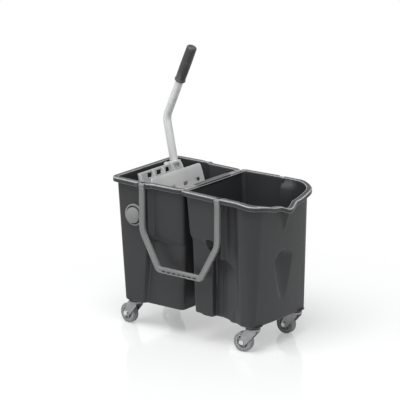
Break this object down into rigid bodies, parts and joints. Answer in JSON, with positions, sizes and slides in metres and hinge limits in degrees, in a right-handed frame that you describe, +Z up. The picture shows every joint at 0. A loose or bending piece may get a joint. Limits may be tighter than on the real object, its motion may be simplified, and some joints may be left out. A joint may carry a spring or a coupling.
{
  "type": "double mop bucket trolley",
  "caption": "Twin mop bucket on swivel casters: a wash bucket with a lever press hooked to a rinse bucket with a pouring spout, lifted by swing handles.",
  "frame": {"origin": "on the floor under the centre of the overall box", "axes": "+Z up, +X from the wash bucket to the rinse bucket, -Y the front seen in the picture"},
  "size_m": [0.5675, 0.329, 0.8379],
  "materials": {
    "bucket": "dark grey polypropylene, fine satin mould texture",
    "handle": "mid grey polypropylene, satin",
    "steel": "zinc plated steel",
    "cover": "mid grey plastic, satin",
    "press": "light grey polypropylene, satin",
    "sieve": "light grey polypropylene, satin",
    "lever": "light grey powder coated steel tube",
    "grip": "dark grey rubber",
    "zinc": "zinc plated pressed steel",
    "wheel": "grey plastic wheel",
    "tyre": "grey rubber tread"
  },
  "bodies": {
    "buckets": {"bucket_wash": "bucket", "bucket_rinse": "bucket", "handle_pins_front": "steel", "handle_pins_back": "steel", "press_axle": "steel", "cover_ring_front": "cover", "cover_ring_back": "cover", "cover_button_front": "cover", "cover_button_back": "cover", "sieve": "sieve", "caster_fl_mount": "zinc", "caster_bl_mount": "zinc", "caster_fr_mount": "zinc", "caster_br_mount": "zinc"},
    "press": {"press_jaw": "press", "press_lever": "lever", "lever_grip": "grip", "lever_bolts": "steel"},
    "front_handle": {"handle_front": "handle"},
    "back_handle": {"handle_back": "handle"},
    "fork_fl": {"caster_fl_fork": "zinc", "caster_fl_axle": "steel"},
    "wheel_fl": {"caster_fl_wheel": "wheel", "caster_fl_tyre": "tyre"},
    "fork_bl": {"caster_bl_fork": "zinc", "caster_bl_axle": "steel"},
    "wheel_bl": {"caster_bl_wheel": "wheel", "caster_bl_tyre": "tyre"},
    "fork_fr": {"caster_fr_fork": "zinc", "caster_fr_axle": "steel"},
    "wheel_fr": {"caster_fr_wheel": "wheel", "caster_fr_tyre": "tyre"},
    "fork_br": {"caster_br_fork": "zinc", "caster_br_axle": "steel"},
    "wheel_br": {"caster_br_wheel": "wheel", "caster_br_tyre": "tyre"}
  },
  "joints": [
    {"name": "press_swing", "type": "hinge", "parent": "buckets", "child": "press", "pos_m": [-0.19324, 0, 0.358], "axis": [0, 1, 0], "range_deg": [0, 55]},
    {"name": "front_handle_swing", "type": "hinge", "parent": "buckets", "child": "front_handle", "pos_m": [-0.01424, -0.1575, 0.457], "axis": [-1, 0, 0], "range_deg": [0, 180]},
    {"name": "back_handle_swing", "type": "hinge", "parent": "buckets", "child": "back_handle", "pos_m": [-0.01424, 0.1575, 0.457], "axis": [1, 0, 0], "range_deg": [0, 180]},
    {"name": "swivel_fl", "type": "hinge", "parent": "buckets", "child": "fork_fl", "pos_m": [-0.22324, -0.104, 0.074], "axis": [0, 0, 1], "continuous": true},
    {"name": "spin_fl", "type": "hinge", "parent": "fork_fl", "child": "wheel_fl", "pos_m": [-0.25278, -0.09879, 0.03], "axis": [0.1736, 0.9848, 0], "continuous": true},
    {"name": "swivel_bl", "type": "hinge", "parent": "buckets", "child": "fork_bl", "pos_m": [-0.22324, 0.104, 0.074], "axis": [0, 0, 1], "continuous": true},
    {"name": "spin_bl", "type": "hinge", "parent": "fork_bl", "child": "wheel_bl", "pos_m": [-0.25312, 0.10662, 0.03], "axis": [0.0872, 0.9962, 0], "continuous": true},
    {"name": "swivel_fr", "type": "hinge", "parent": "buckets", "child": "fork_fr", "pos_m": [0.21676, -0.104, 0.074], "axis": [0, 0, 1], "continuous": true},
    {"name": "spin_fr", "type": "hinge", "parent": "fork_fr", "child": "wheel_fr", "pos_m": [0.18705, -0.10817, 0.03], "axis": [-0.1392, 0.9903, 0], "continuous": true},
    {"name": "swivel_br", "type": "hinge", "parent": "buckets", "child": "fork_br", "pos_m": [0.21676, 0.104, 0.074], "axis": [0, 0, 1], "continuous": true},
    {"name": "spin_br", "type": "hinge", "parent": "fork_br", "child": "wheel_br", "pos_m": [0.18676, 0.104, 0.03], "axis": [0, 1, 0], "continuous": true}
  ]
}
